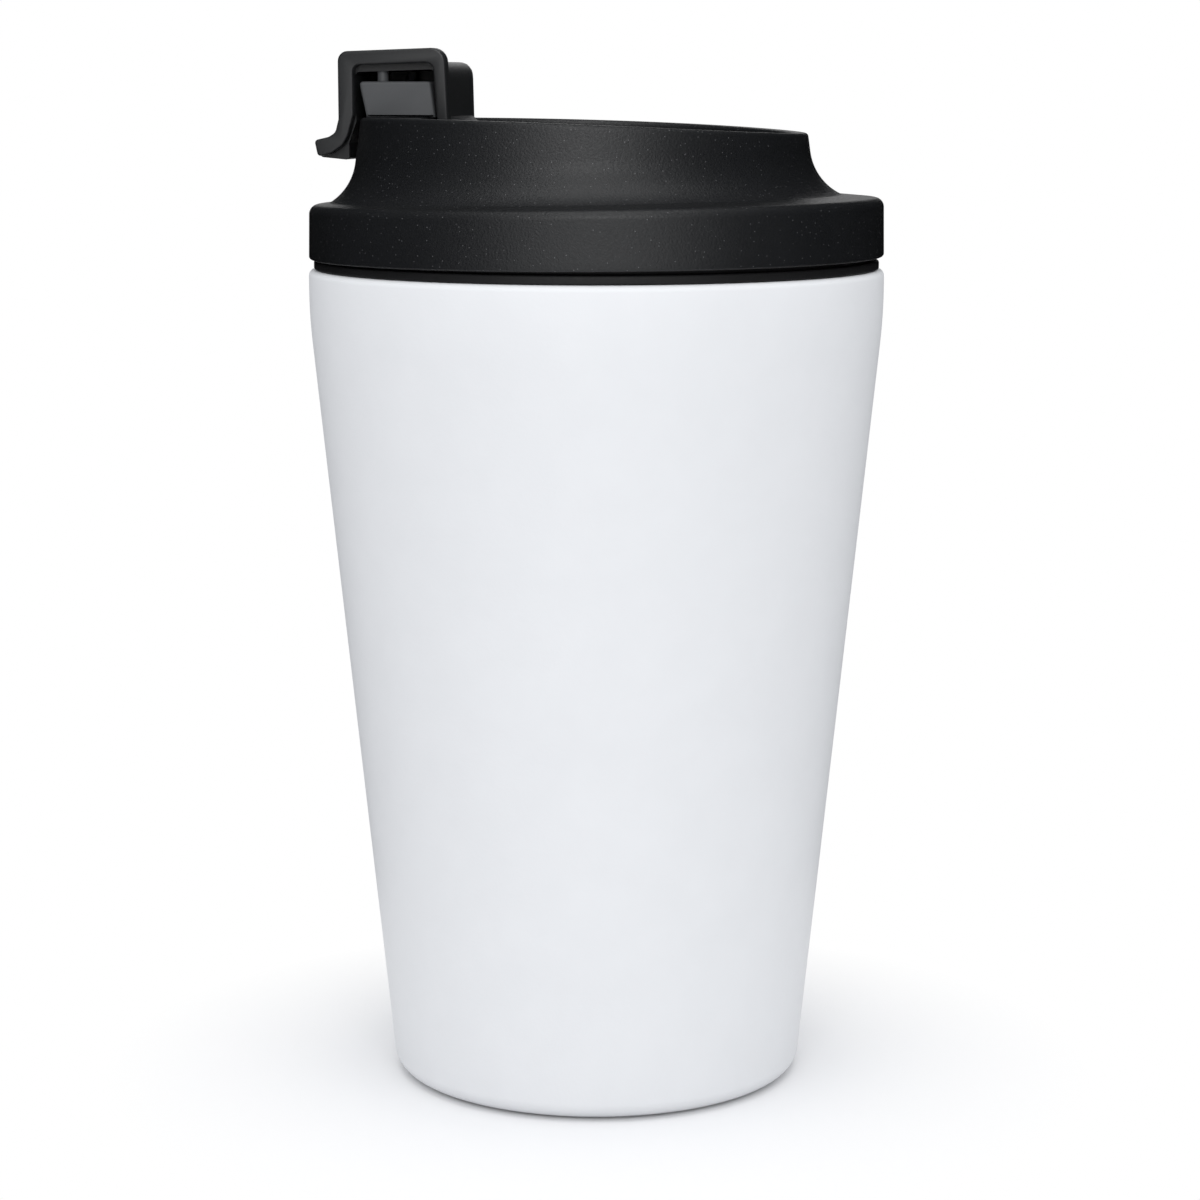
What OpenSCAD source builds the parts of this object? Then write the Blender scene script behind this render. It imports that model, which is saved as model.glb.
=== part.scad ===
// Insulated travel tumbler with a screw-on lid and a flip cap.
// Millimetres, +Z up, origin at the centre of the foot, spout towards -X.

/* [Body] */
// Height of the cup's lip above the surface it stands on
body_h = 120.7; // [116:0.1:126]
// Outer radius of the cup at its lip
lip_r = 42.1; // [41.5:0.1:43.5]
// Outer radius that the tapered wall would have at the floor
base_r = 30.7; // [30:0.1:32]
// Height of the upright wall below the lip
upright_h = 2.6; // [2:0.1:4]
// Radius of the arc that turns the tapered wall upright
turn_r = 114; // [100:1:130]
// Radius of the rounded foot edge
foot_edge_r = 2.8; // [2:0.1:3.2]
// Gap between the floor and the metal foot ring
foot_gap = 0.3; // [0.2:0.1:0.6]
// Thickness of the steel of the outer wall
outer_wall = 0.6; // [0.5:0.1:0.8]
// Thickness of the steel of the inner cup
liner_wall = 0.5; // [0.4:0.1:0.7]
// Width of the vacuum space in the tapered part
vacuum_gap = 3.4; // [3:0.1:4]
// Height of the inner cup's floor
liner_floor_z = 7; // [6.6:0.2:9]
// Radius of the inner cup's bottom edge
liner_edge_r = 6; // [4:0.5:8]
// Width of the lip from the mouth to its outer edge
lip_w = 2.7; // [2.5:0.1:3]
// Radius of the lip's rounded outer edge
lip_edge_r = 0.9; // [0.5:0.1:1.2]
// Depth of the straight mouth that takes the lid's neck
mouth_depth = 14; // [13:0.5:15]

/* [Foot] */
// Radius of the recess in the foot
recess_r = 26; // [24:0.5:26]
// Thickness of the foot pad, and height of the disc above the floor
pad_t = 1.6; // [1.4:0.1:2]
// Clearance round the foot pad
pad_clear = 0.5; // [0.2:0.1:1]
// Thickness of the steel disc in the foot
plate_t = 0.8; // [0.6:0.1:1]
// Radius of the pump-out hole in the disc
pump_hole_r = 0.8; // [0.6:0.1:1]
// Radius of the bead that seals it
bead_r = 2.2; // [1.8:0.1:2.6]
// Height of that bead
bead_t = 0.7; // [0.5:0.1:0.9]

/* [Getter] */
// Radius of the pellet
getter_r = 4; // [3:0.5:5]
// Thickness of the pellet
getter_t = 1.6; // [1.2:0.1:2]
// Width of the strap that holds it
clip_w = 5; // [4:0.5:6]
// Thickness of the strap
clip_t = 0.4; // [0.3:0.1:0.5]
// Length of each welded tab of the strap
clip_tab = 3; // [2:0.5:4]

/* [Lid] */
// How far the lid's band stays inside the lip's outer edge
band_in = 0.1; // [0:0.1:0.5]
// Gap between the rim gasket and the band's lower edge
band_gap = 0.45; // [0.4:0.05:0.9]
// Height of the band's upright side
band_h = 6.6; // [6:0.05:8]
// Radius of the band's top edge
band_edge_r = 1.4; // [1:0.1:1.8]
// Bevel of the band's lower edge
band_bevel = 0.5; // [0.2:0.1:0.8]
// Rise of the sloping shelf between the band and the dome
shelf_rise = 0.6; // [0.4:0.1:1.2]
// Wall of the lid mouldings
lid_wall = 1.6; // [1.4:0.1:1.8]
// Distance that the dome stands off centre towards the spout
dome_shift = 1.5; // [1:0.1:1.8]
// Distance from the lip's outer edge to the dome's waist
dome_in = 9.5; // [9:0.1:10.5]
// How far the dome leans in from there to its rim
rim_lean = 0.75; // [0.4:0.05:1]
// Thickness of the rim
rim_t = 2.25; // [2:0.05:2.6]
// Radius of the concave sweep from the dome to the shelf
sweep_r = 8; // [7:0.1:9]
// Height of the sweep's lowest point above the band's top
sweep_lift = -0.5; // [-0.8:0.1:0]
// Height of the rim's crest above the centre of the sweep
rim_rise = 4.65; // [4:0.05:5]
// Distance of the rim's highest point from the axis
rim_crest_x = 28; // [26:1:30]
// Radius of the arch that the rim follows
rim_arch_r = 750; // [700:10:900]
// Depth of the sunk deck below the rim
deck_depth = 9.6; // [9.4:0.1:10]
// Thickness of the deck
deck_t = 1.8; // [1.6:0.1:2]
// Distance of the air hole from the axis
vent_x = 19; // [16:1:20]
// Radius of the air hole
vent_r = 1; // [0.8:0.1:1.2]
// Wall of the air tube
vent_wall = 1.2; // [1:0.1:1.6]

/* [Spout] */
// Depth of the flat seat below the rim's crest
seat_cut = 0.1; // [0.1:0.05:0.2]
// Width of the seat block
seat_w = 22; // [21:0.5:23]
// Thickness of the rim outside the drinking opening
slot_out_wall = 3.05; // [2.9:0.05:3.3]
// Length of the drinking opening along the radius
slot_l = 5.1; // [5:0.1:5.3]
// Width of the drinking opening
slot_w = 13; // [12:0.5:13]
// Radius of the drinking opening's corners
slot_corner_r = 2; // [1.5:0.1:2.2]
// Thickness of the seat block inside the drinking opening
slot_in_wall = 1.9; // [1.8:0.05:2]
// Wall of the drinking chute
chute_wall = 1.4; // [1.2:0.1:1.6]
// Height of the ring that seals the drinking chute
seal_t = 0.8; // [0.6:0.1:1]

/* [Neck] */
// Gap between the neck and the cup's mouth, for the thread
neck_clear = 0.8; // [0.7:0.1:1]
// Wall of the neck
neck_wall = 2.2; // [2:0.1:2.6]
// Length of the neck below the cup's lip
neck_l = 11.8; // [10:0.2:12.4]
// Thickness of the lid's inner floor
floor_t = 1.5; // [1.2:0.1:1.8]
// Height of the rim gasket
gasket_t = 1.3; // [1.1:0.1:1.6]
// How far the rim gasket stays inside the lip's outer edge
gasket_in = 0.9; // [0.7:0.1:1.2]

/* [Flip cap] */
// Distance from the seat block to the hinge pin
pivot_out = 2.7; // [2.6:0.05:2.8]
// Depth of the hinge pin below the seat
pivot_drop = 3.3; // [3.2:0.05:3.4]
// Radius of the hinge pin
pin_r = 0.8; // [0.7:0.05:0.9]
// Radial clearance between the pin and the cap's knuckle
pin_clear = 0.05; // [0.02:0.01:0.08]
// Radius of the cap's knuckle and the lid's ears
knuckle_r = 2; // [1.9:0.05:2.05]
// Width of the cap
cap_w = 20.6; // [20.2:0.1:21]
// Width of the cap's knuckle
knuckle_w = 13.8; // [13:0.1:14]
// Gap between the knuckle and each ear
ear_gap = 0.4; // [0.3:0.05:0.6]
// Height of the cap's frame above the seat
cap_h = 10.05; // [9.6:0.05:10.4]
// How much lower the frame is on the spout side
cap_fall = 0.55; // [0.4:0.05:0.7]
// Width of the raised frame along the hinge
frame_w = 1.9; // [1.7:0.1:2.1]
// Thickness of the frame's top
frame_t = 1.7; // [1.5:0.1:1.9]
// Radius of the frame's corner on the hinge side
frame_in_r = 2.1; // [1.8:0.1:2.3]
// Radius of the frame's corner on the spout side
frame_out_r = 1.45; // [1.2:0.05:1.7]
// Drop from the frame's top to the hood's top
hood_drop = 1.5; // [1.3:0.1:1.6]
// Step from the frame's sides to the hood's sides
hood_in = 0.8; // [0.5:0.1:0.9]
// Radius of the hood's far corner on the hinge side
hood_corner_r = 3.4; // [2:0.1:3.4]
// Thickness of the hood's top
hood_t = 1.45; // [1.3:0.05:1.5]
// Thickness of the hood's end wall
end_wall = 1.4; // [1.2:0.1:1.6]
// Gap between the rim and the cap's outer leg
rim_clear = 0.5; // [0.45:0.05:0.6]
// Thickness of the cap's outer leg
out_leg_t = 2.3; // [2.1:0.1:2.5]
// Thickness of the cap's inner leg
in_leg_t = 1.6; // [1.5:0.05:1.7]
// Reach of the thumb hook beyond the outer leg
hook_reach = 3.75; // [3:0.05:4]
// Depth of the thumb hook's underside below the seat
hook_drop = 6; // [5.8:0.1:6.2]
// Thickness of the thumb hook at its tip
hook_t = 2.8; // [2.6:0.1:3]

/* [Stopper] */
// Height of the stopper above the seat
stopper_h = 5.2; // [5:0.1:5.3]
// Lean of the stopper's sides towards the spout
stopper_lean = 0.75; // [0.7:0.05:0.8]
// Gap between the stopper and the cap's legs
stopper_clear = 0.55; // [0.5:0.05:0.6]
// Distance of the stopper's near end from the middle of the cap
stopper_near = 9.3; // [9:0.1:9.5]
// Distance of the stopper's far end from the middle of the cap
stopper_far = 8.6; // [8:0.1:8.6]
// Depth of the plug below the seat
plug_depth = 1.9; // [1.5:0.1:1.9]
// Clearance between the plug and the drinking opening
plug_clear = 0.3; // [0.25:0.05:0.35]
// Distance of the plug's ends from the ends of the drinking opening
plug_end_clear = 1.3; // [1.2:0.1:2]
// Distance of each peg from the middle of the cap
peg_y = 7.5; // [7:0.1:7.6]
// Distance of the pegs from the outer leg
peg_in = 3.75; // [3.4:0.05:4.2]
// Radius of the pegs
peg_r = 0.8; // [0.7:0.05:0.9]

/* [Hidden] */
$fn = 96;
eps = 0.01;
far = 200;
white = "#f4f5f8";
black = "#1c1d1f";
steel = "#c4c6c8";
rubber = "#2b2c2e";
grey = "#6a6c6e";

// Tapered wall, tangent to the arc that turns it upright
turn_z = body_h - upright_h;
turn_x = lip_r - turn_r;
taper = acos(-turn_r / norm([turn_x - base_r, turn_z])) - atan2(turn_z, turn_x - base_r);
shoulder_z = turn_z - turn_r * sin(taper);
shoulder_r = turn_x + turn_r * cos(taper);
mouth_r = lip_r - lip_w;
liner_out_r = mouth_r + liner_wall;
liner_step = 4;
plate_z = pad_t;
recess_h = plate_z + plate_t;

// Heights and radii of the lid
neck_r = mouth_r - neck_clear;
neck_z = body_h - neck_l;
gasket_r = lip_r - gasket_in;
floor_z = body_h + gasket_t;
band_r = lip_r - band_in;
band_z = floor_z + band_gap;
band_top_z = band_z + band_h;
dome_r = lip_r - dome_in;
shelf_z = band_top_z + band_edge_r;
sweep_z = shelf_z + sweep_lift + sweep_r;
rim_r = dome_r - rim_lean;
rim_z = sweep_z + rim_rise;
deck_z = rim_z - deck_depth;
deck_low_z = deck_z - deck_t;
under_z = band_top_z - 0.25 * lid_wall;
shelf_in_r = dome_r + dome_shift + 0.3;

// Places along the spout's direction, measured from the axis
rim_out_x = rim_r + dome_shift;
slot_out_x = rim_out_x - slot_out_wall;
slot_in_x = slot_out_x - slot_l;
seat_in_x = slot_in_x - slot_in_wall;
seat_z = rim_z - seat_cut;
pivot_x = seat_in_x - pivot_out;
pivot_z = seat_z - pivot_drop;
leg_foot_z = seat_z - 0.7;
leg_half = 1;
leg_x = pivot_x - leg_half;
leg_in_x = leg_x + in_leg_t;
leg_lean = 0.95;
out_leg_in_x = rim_out_x + rim_clear;
out_leg_x = out_leg_in_x + out_leg_t;
hook_x = out_leg_x + hook_reach;
hook_z = seat_z - hook_drop;
cap_top_z = seat_z + cap_h;
hood_space_z = cap_top_z - hood_drop - hood_t;
peg_x = out_leg_in_x - peg_in;
ear_in = knuckle_w / 2 + ear_gap;

// Radius of the tapered wall at a height
function wall_r(z) = base_r + (shoulder_r - base_r) * z / shoulder_z;

// A filled region from the axis to the outer wall, made thinner by inset
module wall_region(inset, low_z, high_z) {
    edge = foot_edge_r - inset;
    corner_z = low_z + edge;
    corner_r = wall_r(corner_z) - foot_edge_r / cos(taper);
    polygon([
        [0, low_z],
        [corner_r, low_z],
        [corner_r + edge * cos(taper), corner_z - edge * sin(taper)],
        [shoulder_r - inset, shoulder_z],
        [0, shoulder_z]
    ]);
    translate([corner_r, corner_z]) circle(r = edge);
    intersection() {
        translate([turn_x, turn_z]) circle(r = turn_r - inset, $fn = 720);
        translate([0, shoulder_z - eps]) square([far, turn_z - shoulder_z + 2 * eps]);
    }
    translate([0, turn_z]) square([lip_r - inset, high_z - turn_z]);
}

// White outer wall with its turned-in lip and its foot ring
module outer_shell() {
    color(white) rotate_extrude() difference() {
        wall_region(0, foot_gap, body_h);
        translate([lip_r - lip_edge_r, body_h - lip_edge_r]) difference() {
            square(lip_edge_r + 1);
            circle(r = lip_edge_r);
        }
        wall_region(outer_wall, foot_gap + outer_wall, body_h - outer_wall);
        square([recess_r, recess_h + 1]);
        translate([0, turn_z]) square([liner_out_r, far]);
    }
}

// Steel disc with a short skirt, welded into the foot ring
module outer_base() {
    color(white) difference() {
        rotate_extrude() {
            translate([0, plate_z]) square([recess_r, plate_t]);
            translate([recess_r - plate_t, foot_gap]) square([plate_t, recess_h - foot_gap]);
        }
        cylinder(r = pump_hole_r, h = far, $fn = 32);
    }
}

// A filled region from the axis to the inner cup's side, made thinner by inset
module liner_region(inset, top_z) {
    step_z = body_h - mouth_depth;
    gap = outer_wall + vacuum_gap + inset;
    edge = liner_edge_r - inset;
    corner_z = liner_floor_z + liner_edge_r;
    corner_r = wall_r(corner_z) - gap - edge;
    difference() {
        union() {
            polygon([
                [0, corner_z - edge],
                [corner_r, corner_z - edge],
                [corner_r + edge * cos(taper), corner_z - edge * sin(taper)],
                [wall_r(step_z - liner_step) - gap, step_z - liner_step],
                [liner_out_r - inset, step_z],
                [liner_out_r - inset, top_z],
                [0, top_z]
            ]);
            translate([corner_r, corner_z]) circle(r = edge);
        }
        translate([-far, 0]) square([far, far]);
    }
}

// Inner cup that holds the drink
module inner_liner() {
    color(steel) rotate_extrude() difference() {
        liner_region(0, body_h);
        liner_region(liner_wall, body_h + 1);
    }
}

// Gas-absorbing pellet inside the vacuum space
module getter() {
    color(grey) translate([0, 0, liner_floor_z - getter_t]) cylinder(r = getter_r, h = getter_t);
}

// Spring steel strap that holds the pellet against the inner cup
module getter_clip() {
    low_z = liner_floor_z - getter_t - clip_t;
    color(steel) for (side = [0, 1]) mirror([side, 0, 0]) {
        translate([-eps, -clip_w / 2, low_z]) cube([getter_r + clip_t + eps, clip_w, clip_t]);
        translate([getter_r, -clip_w / 2, low_z]) cube([clip_t, clip_w, liner_floor_z - low_z]);
        translate([getter_r, -clip_w / 2, liner_floor_z - clip_t])
            cube([clip_t + clip_tab, clip_w, clip_t]);
    }
}

// Bead that seals the pump-out hole
module vacuum_plug() {
    color(grey) {
        translate([0, 0, plate_z - bead_t]) cylinder(r = bead_r, h = bead_t);
        translate([0, 0, plate_z - eps]) cylinder(r = pump_hole_r, h = plate_t + eps, $fn = 32);
    }
}

// Soft pad that the cup stands on
module foot_pad() {
    bead_clear = 0.2;
    color(rubber) difference() {
        cylinder(r = recess_r - plate_t - pad_clear, h = plate_z);
        translate([0, 0, plate_z - bead_t - bead_clear]) cylinder(r = bead_r + bead_clear, h = far);
    }
}

// Soft ring clamped between the lid and the cup's lip
module rim_gasket() {
    color(rubber) rotate_extrude() translate([neck_r, body_h]) square([gasket_r - neck_r, gasket_t]);
}

// The drinking opening's outline, grown by some distance
module slot_outline(grow) {
    corner = slot_corner_r + grow;
    x0 = -slot_out_x - grow + corner;
    x1 = -slot_in_x + grow - corner;
    y1 = slot_w / 2 + grow - corner;
    for (x = [x0, x1], y = [-y1, y1]) translate([x, y]) circle(r = corner, $fn = 48);
    translate([x0, -y1 - corner]) square([x1 - x0, 2 * (y1 + corner)]);
    translate([x0 - corner, -y1]) square([x1 - x0 + 2 * corner, 2 * y1]);
}

// Inner lid moulding: neck, floor, drinking chute and air tube
module lid_inner() {
    color(black) difference() {
        union() {
            rotate_extrude() {
                translate([neck_r - neck_wall, neck_z]) square([neck_wall, floor_z - neck_z + eps]);
                translate([0, floor_z]) square([band_r - lid_wall, floor_t]);
            }
            translate([0, 0, floor_z]) linear_extrude(deck_low_z - seal_t - floor_z) slot_outline(chute_wall);
            translate([vent_x, 0, floor_z]) cylinder(r = vent_r + vent_wall, h = deck_low_z - floor_z);
        }
        translate([0, 0, neck_z]) linear_extrude(far) slot_outline(0);
        translate([vent_x, 0, neck_z]) cylinder(r = vent_r, h = far, $fn = 32);
    }
}

// Soft ring between the drinking chute and the deck
module lid_seal() {
    color(rubber) translate([0, 0, deck_low_z - seal_t]) linear_extrude(seal_t) difference() {
        slot_outline(chute_wall);
        slot_outline(0);
    }
}

// Band and shelf of the lid, round the cup's axis
module band_region() {
    difference() {
        union() {
            polygon([
                [0, band_z],
                [band_r - band_bevel, band_z],
                [band_r, band_z + band_bevel],
                [band_r, band_top_z],
                [band_r - band_edge_r, shelf_z],
                [shelf_in_r, shelf_z + shelf_rise],
                [0, shelf_z + shelf_rise]
            ]);
            translate([band_r - band_edge_r, band_top_z]) circle(r = band_edge_r);
        }
        translate([-far, 0]) square([far, far]);
    }
}

// Dome with its concave waist, round its own axis
module dome_region() {
    difference() {
        polygon([
            [0, deck_low_z],
            [dome_r + sweep_r, sweep_z - sweep_r],
            [dome_r + sweep_r, sweep_z],
            [dome_r, sweep_z],
            [rim_r, rim_z],
            [rim_r, rim_z + 1],
            [0, rim_z + 1]
        ]);
        translate([dome_r + sweep_r, sweep_z]) circle(r = sweep_r, $fn = 180);
    }
}

// Space under the shelf and the deck
module under_region() {
    inner_r = band_r - lid_wall;
    polygon([
        [0, band_z - 1],
        [inner_r, band_z - 1],
        [inner_r, under_z - 1],
        [inner_r - 1, under_z],
        [shelf_in_r + 2, under_z + 0.5],
        [shelf_in_r - 2, deck_low_z],
        [0, deck_low_z]
    ]);
}

// Side view of one hinge ear: an eye carried out from the seat block
module ear_region() {
    root = [-seat_in_x - 1, deck_z + 1];
    eye = [-pivot_x, pivot_z];
    away = root - eye;
    lean = atan2(away[1], away[0]) + acos(knuckle_r / norm(away));
    translate(eye) circle(r = knuckle_r, $fn = 64);
    polygon([
        eye + [0, knuckle_r],
        [root[0], pivot_z + knuckle_r],
        root,
        eye + knuckle_r * [cos(lean), sin(lean)]
    ]);
}

// A side view pushed out along Y between two places
module across(y0, y1) {
    translate([0, y1, 0]) rotate([90, 0, 0]) linear_extrude(y1 - y0) children();
}

// A round bar along the hinge
module hinge_bar(radius, length) {
    translate([-pivot_x, 0, pivot_z]) rotate([90, 0, 0])
        cylinder(r = radius, h = length, center = true, $fn = 48);
}

// Outer lid moulding: band, shelf, dome, rim, deck, seat block and hinge ears
module lid_shell() {
    color(black) difference() {
        intersection() {
            union() {
                rotate_extrude() band_region();
                difference() {
                    translate([-dome_shift, 0, 0]) rotate_extrude() dome_region();
                    difference() {
                        translate([-dome_shift, 0, deck_z]) cylinder(r = rim_r - rim_t, h = far);
                        translate([-far, -seat_w / 2, 0]) cube([far - seat_in_x, seat_w, far]);
                    }
                }
                across(ear_in, cap_w / 2) ear_region();
                across(-cap_w / 2, -ear_in) ear_region();
            }
            translate([-rim_crest_x, 0, rim_z - rim_arch_r]) rotate([90, 0, 0])
                cylinder(r = rim_arch_r, h = far, center = true, $fn = 2400);
        }
        rotate_extrude() under_region();
        translate([-far, -seat_w / 2, seat_z]) cube([far - pivot_x, seat_w, far]);
        translate([0, 0, neck_z]) linear_extrude(far) slot_outline(0);
        translate([vent_x, 0, neck_z]) cylinder(r = vent_r, h = far, $fn = 32);
        hinge_bar(pin_r, cap_w + 2);
    }
}

// Steel pin of the flip cap
module hinge_pin() {
    color(steel) hinge_bar(pin_r, cap_w);
}

// Filled side view of the cap, with its top lowered and its sides drawn in
module cap_outline(drop, inset) {
    top_z = cap_top_z - drop;
    in_corner = [-leg_x - 0.5 - frame_in_r - inset, top_z - frame_in_r];
    out_corner = [-out_leg_x + frame_out_r + inset, top_z - cap_fall - frame_out_r];
    polygon([
        [-leg_x - inset, leg_foot_z],
        [in_corner[0] + frame_in_r, in_corner[1]],
        [in_corner[0], top_z],
        [out_corner[0], top_z - cap_fall],
        [out_corner[0] - frame_out_r, out_corner[1]],
        [-out_leg_x + inset, seat_z - 0.3],
        [-out_leg_x - 0.45 + inset, seat_z - 1.5],
        [-out_leg_x - 0.4 * hook_reach, hook_z + hook_t + 0.9],
        [-hook_x + 0.2, hook_z + hook_t + 0.3],
        [-hook_x, hook_z + hook_t],
        [-hook_x + 0.4, hook_z + 0.5],
        [-hook_x + 0.8, hook_z + 0.1],
        [-out_leg_in_x - 1.15, hook_z],
        [-out_leg_in_x - 1.15, hook_z + 2.3],
        [-out_leg_in_x, seat_z - 0.5]
    ]);
    translate(in_corner) circle(r = frame_in_r, $fn = 64);
    translate(out_corner) circle(r = frame_out_r, $fn = 64);
}

// Plan of the hood, with its rounded far corner
module hood_plan() {
    corner_x = -leg_x - hood_in - hood_corner_r;
    corner_y = cap_w / 2 - hood_corner_r;
    translate([corner_x, corner_y]) circle(r = hood_corner_r, $fn = 64);
    translate([-far, -far]) square([far + corner_x, 2 * far]);
    translate([-far, -far]) square([2 * far, far + corner_y]);
}

// Side view of the space inside the cap
module cap_space(top_z) {
    polygon([
        [-out_leg_in_x, 0],
        [-leg_in_x, 0],
        [-leg_in_x, seat_z - 0.5],
        [-leg_in_x - leg_lean, top_z],
        [-out_leg_in_x, top_z - 0.7 * cap_fall]
    ]);
}

// Cap: hood over the spout, raised end frame, thumb hook and hinge knuckle
module flip_cap() {
    half = cap_w / 2;
    color(black) difference() {
        union() {
            difference() {
                union() {
                    across(-half, -half + frame_w) cap_outline(0, 0);
                    intersection() {
                        across(-half + frame_w, half) cap_outline(hood_drop, hood_in);
                        linear_extrude(far) hood_plan();
                    }
                }
                across(-half - 1, -half + frame_w) cap_space(cap_top_z - frame_t);
                across(-half + frame_w - eps, half - end_wall) cap_space(hood_space_z);
                across(half - end_wall - eps, half + 1) intersection() {
                    cap_space(hood_space_z);
                    translate([-far, 0]) square([far, seat_z + 0.35]);
                }
            }
            across(-knuckle_w / 2, knuckle_w / 2) {
                translate([-pivot_x, pivot_z]) circle(r = knuckle_r, $fn = 64);
                polygon([
                    [-leg_x, pivot_z],
                    [-leg_x - 0.1, seat_z - 0.6],
                    [-leg_x - hood_in - 0.2, seat_z + 0.4],
                    [-leg_in_x, seat_z + 0.4],
                    [-leg_in_x, pivot_z]
                ]);
            }
        }
        hinge_bar(pin_r + pin_clear, far);
        for (side = [-1, 1]) translate([-peg_x, side * peg_y, seat_z + stopper_h / 2])
            cylinder(r = peg_r, h = cap_h, $fn = 32);
    }
}

// Soft block with its plug and the two pegs that hold it in the hood
module stopper() {
    outer_x = out_leg_in_x - stopper_clear;
    inner_x = leg_in_x + stopper_clear;
    color(grey) {
        across(-stopper_near, stopper_far) polygon([
            [-outer_x + 1.5 * stopper_lean, seat_z],
            [-inner_x, seat_z],
            [-inner_x - stopper_lean, seat_z + stopper_h],
            [-outer_x, seat_z + stopper_h]
        ]);
        intersection() {
            linear_extrude(far) slot_outline(-plug_clear);
            across(-slot_w / 2 + plug_end_clear, slot_w / 2 - plug_end_clear) polygon([
                [-slot_out_x, seat_z + eps],
                [-slot_in_x - plug_clear, seat_z + eps],
                [-slot_in_x - 4 * plug_clear, seat_z - plug_depth],
                [-slot_out_x + 2 * plug_clear, seat_z - plug_depth]
            ]);
        }
        for (side = [-1, 1]) translate([-peg_x, side * peg_y, seat_z + stopper_h - eps])
            cylinder(r = peg_r, h = cap_h - hood_drop - stopper_h, $fn = 32);
    }
}

outer_shell();
outer_base();
inner_liner();
getter();
getter_clip();
vacuum_plug();
foot_pad();
rim_gasket();
lid_inner();
lid_seal();
lid_shell();
hinge_pin();
flip_cap();
stopper();
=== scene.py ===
"""Insulated travel tumbler with a screw-on lid and a flip cap, dressed over its solids.

Metres, +Z up, origin at the centre of the foot, spout towards -X.
"""

import math

import bmesh
import bpy
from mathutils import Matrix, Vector
from mathutils.geometry import tessellate_polygon


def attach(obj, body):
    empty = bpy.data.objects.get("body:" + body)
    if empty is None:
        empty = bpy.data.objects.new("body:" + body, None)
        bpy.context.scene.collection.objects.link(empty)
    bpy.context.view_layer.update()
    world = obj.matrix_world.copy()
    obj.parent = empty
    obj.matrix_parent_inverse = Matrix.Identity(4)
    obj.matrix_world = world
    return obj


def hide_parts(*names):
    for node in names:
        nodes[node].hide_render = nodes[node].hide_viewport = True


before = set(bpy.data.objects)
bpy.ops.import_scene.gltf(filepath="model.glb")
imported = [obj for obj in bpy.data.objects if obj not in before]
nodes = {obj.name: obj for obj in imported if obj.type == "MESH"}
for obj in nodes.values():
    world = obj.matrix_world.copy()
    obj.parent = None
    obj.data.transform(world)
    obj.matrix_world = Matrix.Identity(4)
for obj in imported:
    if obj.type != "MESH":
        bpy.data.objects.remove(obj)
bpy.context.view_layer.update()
scene = bpy.context.scene

MM = 0.001
TURN = 2 * math.pi

# Camera, matched to the photograph, whose frame is square
PHOTO_PX = 1200
AXIS_PX = 596.5
FOCAL_PX = 3164
SENSOR = 36
CAMERA_DISTANCE = 466.67 * MM
CAMERA_HEIGHT = 147.89 * MM
CAMERA_AZIMUTH = math.radians(13)
CAMERA_PITCH = math.radians(9.331)


def around(azimuth, distance, height):
    """A place at some azimuth round the object, where 0 is in front of it."""
    return Vector((distance * math.sin(azimuth), -distance * math.cos(azimuth), height))


def make_camera():
    data = bpy.data.cameras.new("camera")
    data.sensor_width = SENSOR
    data.lens = SENSOR * FOCAL_PX / PHOTO_PX
    data.clip_start = 0.01
    data.clip_end = 20
    camera = bpy.data.objects.new("camera", data)
    aside = math.atan((PHOTO_PX / 2 - AXIS_PX) / FOCAL_PX)
    camera.location = around(CAMERA_AZIMUTH, CAMERA_DISTANCE, CAMERA_HEIGHT)
    camera.rotation_euler = (math.pi / 2 - CAMERA_PITCH, 0, CAMERA_AZIMUTH - aside)
    scene.collection.objects.link(camera)
    scene.camera = camera


make_camera()

# Cup
BODY_H = 120.7
LIP_R = 42.09
BASE_R = 30.35
UPRIGHT_H = 2.6
TURN_R = 80
FOOT_EDGE_R = 2.8
FOOT_GAP = 0.3
OUTER_WALL = 0.6
LINER_WALL = 0.5
VACUUM_GAP = 3.4
LINER_FLOOR_Z = 7
LINER_EDGE_R = 6
LIP_W = 2.7
LIP_EDGE_R = 0.9
MOUTH_DEPTH = 14
LINER_STEP = 4
RECESS_R = 26
PAD_T = 1.6
PAD_R = 24.7
PAD_GROOVES = (7, 13, 19)
GASKET_T = 1.3
GASKET_R = LIP_R - 0.75

# Lid
FLOOR_Z = BODY_H + GASKET_T
BAND_R = LIP_R - 0.1
BAND_Z = FLOOR_Z + 0.35
BAND_TOP_Z = BAND_Z + 6.8
BAND_EDGE_R = 1.4
BAND_FOOT_R = 0.45
BAND_DRAFT = 0.1
SHELF_Z = BAND_TOP_Z + BAND_EDGE_R
SHELF_RISE = 0.6
SHELF_IN_R = 34.4
LID_WALL = 1.6
DOME_SHIFT = 2.05
SWEEP_R = 8
SWEEP_CENTRE_R = 41.13
SWEEP_Z = SHELF_Z - 0.6 + SWEEP_R
FLANK_LEAN = math.radians(8)
RIM_T = 2.25
RIM_EDGE_R = 0.6
RIM_Z = SWEEP_Z + 4.65
RIM_CREST_X = 28
RIM_ARCH_R = 810
RIM_FAR_DROP = 0.55
RIM_NEAR_Y = -31
RIM_SPAN = 63
DECK_Z = RIM_Z - 9.6
DECK_T = 1.8
VENT_X = 19
VENT_R = 1
MOUTH_R = LIP_R - LIP_W
NECK_R = MOUTH_R - 0.8
NECK_WALL = 2.2
NECK_Z = BODY_H - 11.8
FLOOR_T = 1.5
THREAD_H = 0.45
THREAD_PITCH = 3.2

# The lid sits a little askew, lower on the spout side; slopes in millimetres to the millimetre
LID_SLOPE_X = 0.0138
LID_SLOPE_Y = -0.0045
WAIST_SLOPE_X = 0.0082
FOOT_SLOPE_SHARE = 0.4

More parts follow.
